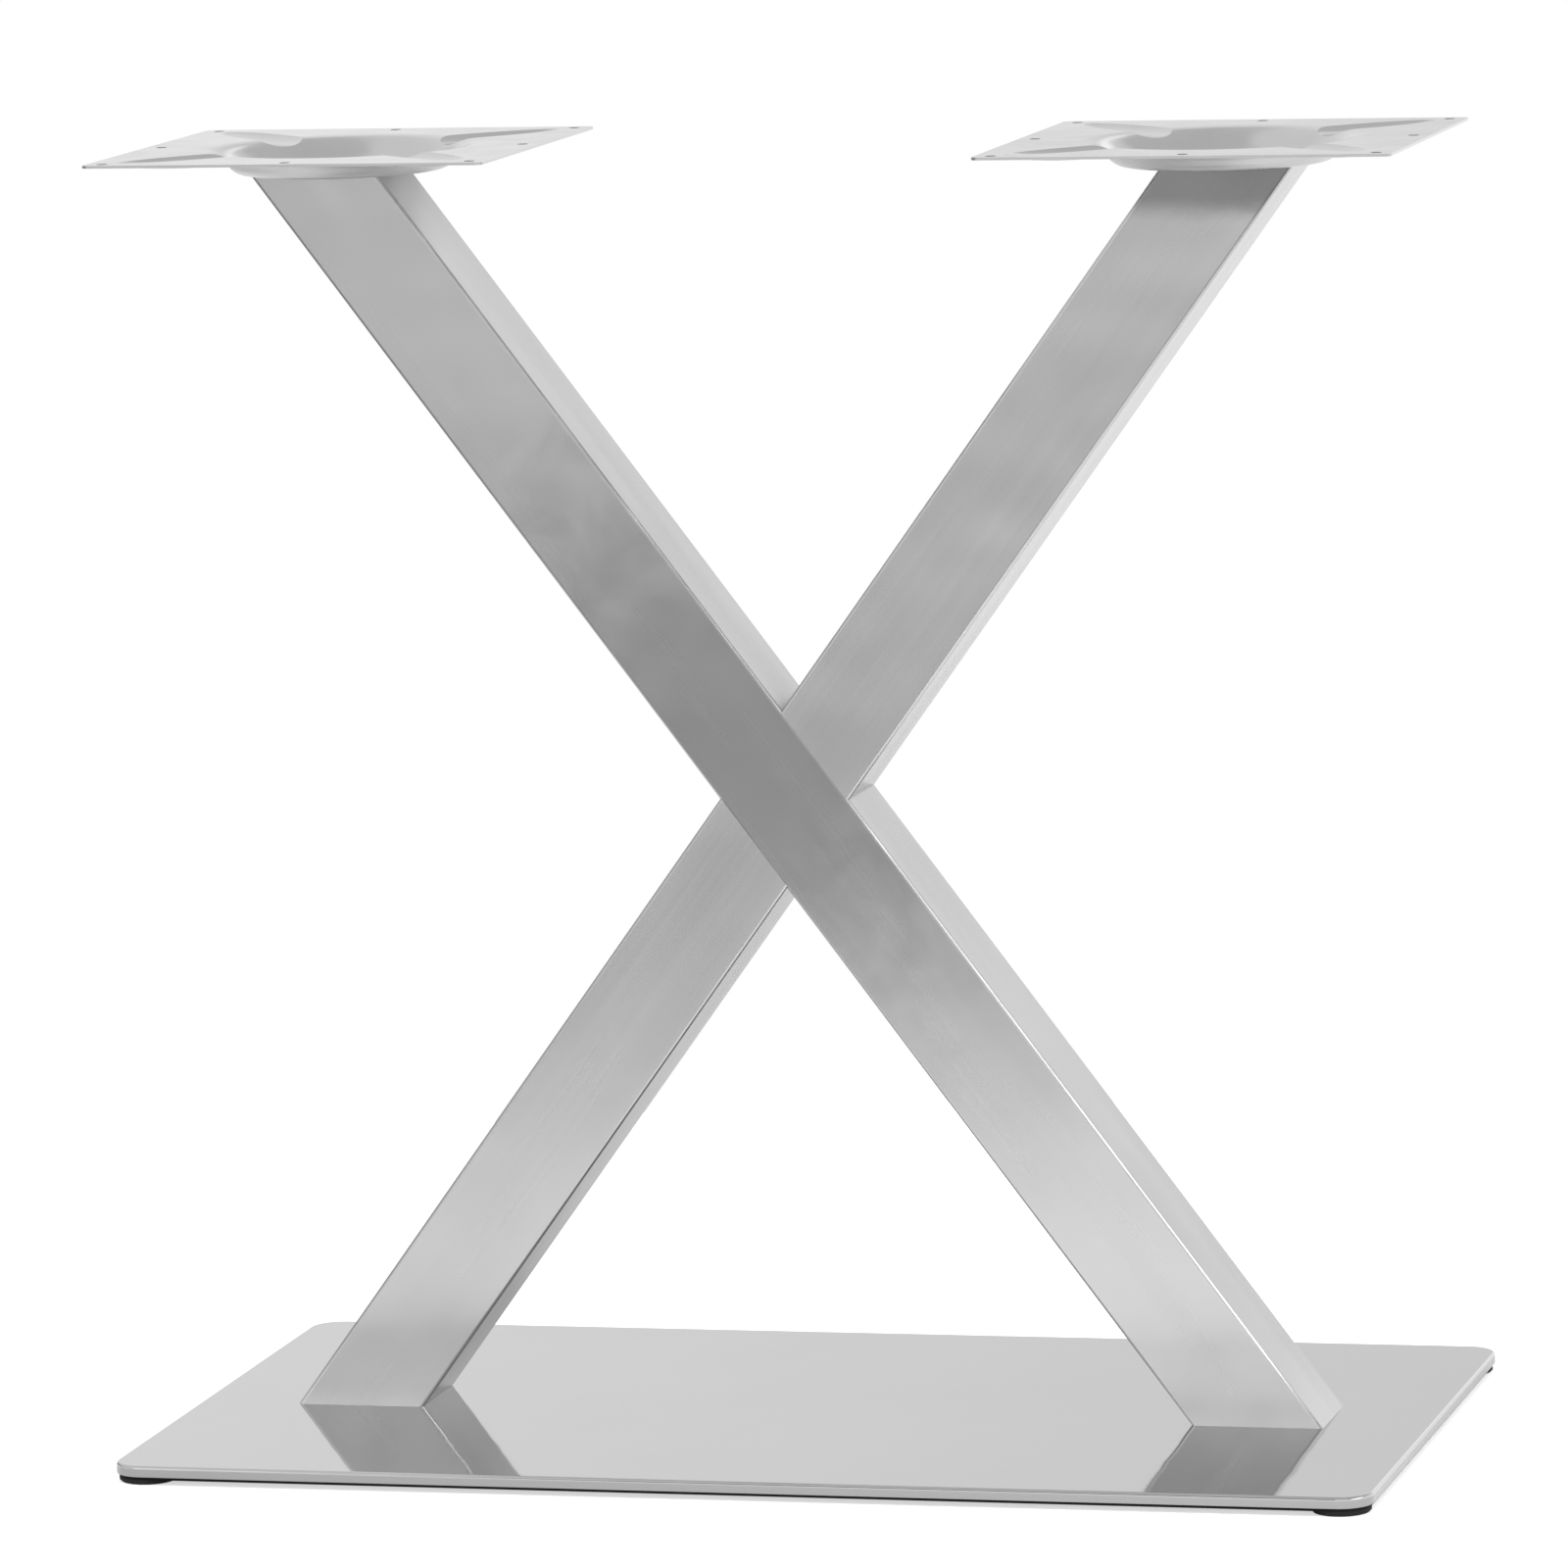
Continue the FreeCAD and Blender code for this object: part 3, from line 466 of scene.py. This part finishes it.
def make_floor():
    """A pale round floor. The camera sees it white, with the object's soft shadow."""
    mesh = bpy.data.meshes.new("floor")
    turns = [side * math.tau / FLOOR_SIDES for side in range(FLOOR_SIDES)]
    ring = [(FLOOR_RADIUS * math.cos(turn), FLOOR_RADIUS * math.sin(turn), FLOOR_LEVEL)
            for turn in turns]
    mesh.from_pydata(ring, [], [list(range(FLOOR_SIDES))])
    floor = bpy.data.objects.new("floor", mesh)
    bpy.context.scene.collection.objects.link(floor)
    g = Finish("floor_white")
    path = g.add("LightPath").outputs
    matt = g.add("BsdfDiffuse", {"Color": FLOOR_COLOUR})
    glow = g.plus(g.times(path["Is Camera Ray"], FLOOR_GLOW),
                  g.times(path["Is Glossy Ray"], FLOOR_GLOW_IN_METAL))
    glowing = g.add("Emission", {"Color": WHITE, "Strength": glow})
    both = g.add("AddShader", {0: matt, 1: glowing})
    g.put(g.tree.nodes["Material Output"], "Surface", both)
    mesh.materials.append(g.material)


make_floor()

# Studio. A place in it is a direction's X, Y and Z, each from -1 to 1, and a strength of 1 is white.
# The two sides in front go by pairs of Z and strength: the metal's fronts mirror them.

DARK_SIDE = (
    (-1.0, 0.7), (-0.3, 0.6), (-0.2, 0.3), (-0.13, 0.25), (-0.07, 1.5),
    (0.03, 1.5), (0.08, 0.1), (0.36, 0.1), (0.46, 0.75), (1.0, 0.75),
)
SOFTBOX_SIDE = (
    (-1.0, 0.7), (-0.3, 0.6), (-0.13, 0.55), (-0.05, 1.15), (0.05, 1.3),
    (0.12, 1.5), (0.3, 1.4), (0.5, 1.1), (0.75, 0.95), (1.0, 0.95),
)
SOFTBOX_EDGE_X = (-0.33, -0.25)
SPARE_STOP = 0.5  # where a colour ramp's new stops wait until they are placed
FRONT_RIGHT_STRENGTH = 0.95
FRONT_RIGHT_X = (-0.15, 0.0)
FRONT_RIGHT_Z = (0.03, 0.15)

# Backdrop behind: strengths from left to right, then its foot and its upper right.
BACK_LEFT_X = (-0.32, -0.16)
BACK_LEFT_STRENGTHS = (0.92, 0.82)
BACK_MIDDLE_X = (-0.12, 0.02)
BACK_RIGHT_X = (0.18, 0.28)
BACK_RIGHT_STRENGTHS = (1.25, 1.05)
BACK_FOOT_STRENGTH = 1.22
BACK_FOOT_Z = (-0.1, 0.0)
BACK_UPPER_STRENGTH = 0.85
BACK_UPPER_X = (0.0, 0.12)
BACK_UPPER_Z = (0.33, 0.45)
FRONT_TO_BACK_Y = (-0.25, 0.35)

# Ceiling, and the shade on the far left below it.
CEILING_X = (-0.3, -0.19)
CEILING_STRENGTHS = (0.86, 0.66)
CEILING_Z = (0.5, 0.62)
FAR_LEFT_X = (-0.75, -0.5)
FAR_LEFT_SHARES = (0.45, 1.0)
FAR_LEFT_Z = (0.3, 0.45)

# A screen high on the right. Its lower right half is lit, and the rest of it is dark.
SCREEN_WAY = Vector((0.75, -0.29, 0.59)).normalized()
SCREEN_EDGE = (0.87, 0.95)
SCREEN_Z = (0.3, 0.42)
LIT_WAY = Vector((0.62, -0.05, -0.785))
LIT_EDGE = (0.0, 0.07)
SCREEN_SHADE = 0.7
LIT_STRENGTH = 3.2


def by_height(g, height, stops):
    """A strength that goes by height, from pairs of Z and strength."""
    node = g.add("ValToRGB", {0: height})
    elements = node.color_ramp.elements
    while len(elements) < len(stops):
        elements.new(SPARE_STOP)
    for element, (z, _) in zip(elements, stops):
        element.position = (z + 1) / 2
    for element, (_, strength) in zip(elements, stops):
        element.color = (strength, strength, strength, 1.0)
    return node.outputs[0]


def front_wall(g, x, z):
    """The dark side and the softbox in front of the object, and a pale wall at their right."""
    height = g.ramp(z, (-1.0, 1.0), (0.0, 1.0), kind="LINEAR")
    softbox = g.fall(x, *SOFTBOX_EDGE_X)
    wall = g.between(by_height(g, height, DARK_SIDE), by_height(g, height, SOFTBOX_SIDE), softbox)
    right = g.times(g.rise(z, *FRONT_RIGHT_Z), g.rise(x, *FRONT_RIGHT_X))
    return g.between(wall, FRONT_RIGHT_STRENGTH, right)


def back_wall(g, x, z):
    """The pale backdrop behind the object."""
    left = g.ramp(x, BACK_LEFT_X, BACK_LEFT_STRENGTHS)
    right = g.ramp(x, BACK_RIGHT_X, BACK_RIGHT_STRENGTHS)
    wall = g.between(left, right, g.rise(x, *BACK_MIDDLE_X))
    wall = g.between(wall, BACK_FOOT_STRENGTH, g.fall(z, *BACK_FOOT_Z))
    upper = g.times(g.rise(z, *BACK_UPPER_Z), g.rise(x, *BACK_UPPER_X))
    return g.between(wall, BACK_UPPER_STRENGTH, upper)


def studio_room(g, x, y, z):
    """Both walls under the ceiling, with the far left in shade."""
    room = g.between(front_wall(g, x, z), back_wall(g, x, z), g.rise(y, *FRONT_TO_BACK_Y))
    ceiling = g.ramp(x, CEILING_X, CEILING_STRENGTHS)
    room = g.between(room, ceiling, g.rise(z, *CEILING_Z))
    far_left = g.between(g.ramp(x, FAR_LEFT_X, FAR_LEFT_SHARES), 1.0, g.rise(z, *FAR_LEFT_Z))
    return g.times(room, far_left)


def add_screen(g, direction, z, room):
    """The room with the half-lit screen in it."""
    near = g.rise(g.dot(direction, SCREEN_WAY), *SCREEN_EDGE)
    near = g.times(near, g.rise(z, *SCREEN_Z))
    lit = g.times(near, g.rise(g.dot(direction, LIT_WAY), *LIT_EDGE))
    dark = g.times(g.minus(near, lit), SCREEN_SHADE)
    return g.plus(g.less(room, dark), g.times(lit, LIT_STRENGTH))


def make_world():
    """White all round for the camera. All else is lit by the studio and mirrors it."""
    world = bpy.data.worlds.new("studio")
    bpy.context.scene.world = world
    world.use_nodes = True
    g = Graph(world.node_tree)
    direction = g.add("TexCoord").outputs["Generated"]
    x, y, z = g.split(direction)
    room = add_screen(g, direction, z, studio_room(g, x, y, z))
    seen = g.between(room, 1.0, g.add("LightPath").outputs["Is Camera Ray"])
    background = g.tree.nodes["Background"]
    g.put(background, "Color", WHITE)
    g.put(background, "Strength", seen)


make_world()

# Lamp over the front of the foot. Metal doesn't mirror it.

LAMP_PLACE = Vector((0.35, -0.8, 1.0))
LAMP_TARGET = Vector((0.3, -0.6, 0.0))
LAMP_SIZE = 0.6
LAMP_WATTS = 9.0


def make_lamp():
    """A square soft lamp that looks at its target."""
    data = bpy.data.lights.new("lamp_over", "AREA")
    data.size = LAMP_SIZE
    data.energy = LAMP_WATTS
    lamp = bpy.data.objects.new("lamp_over", data)
    bpy.context.scene.collection.objects.link(lamp)
    turn = (LAMP_TARGET - LAMP_PLACE).to_track_quat("-Z", "Y").to_matrix().to_4x4()
    lamp.matrix_world = Matrix.Translation(LAMP_PLACE) @ turn
    lamp.visible_glossy = False


make_lamp()

bpy.context.scene.view_settings.view_transform = "Standard"
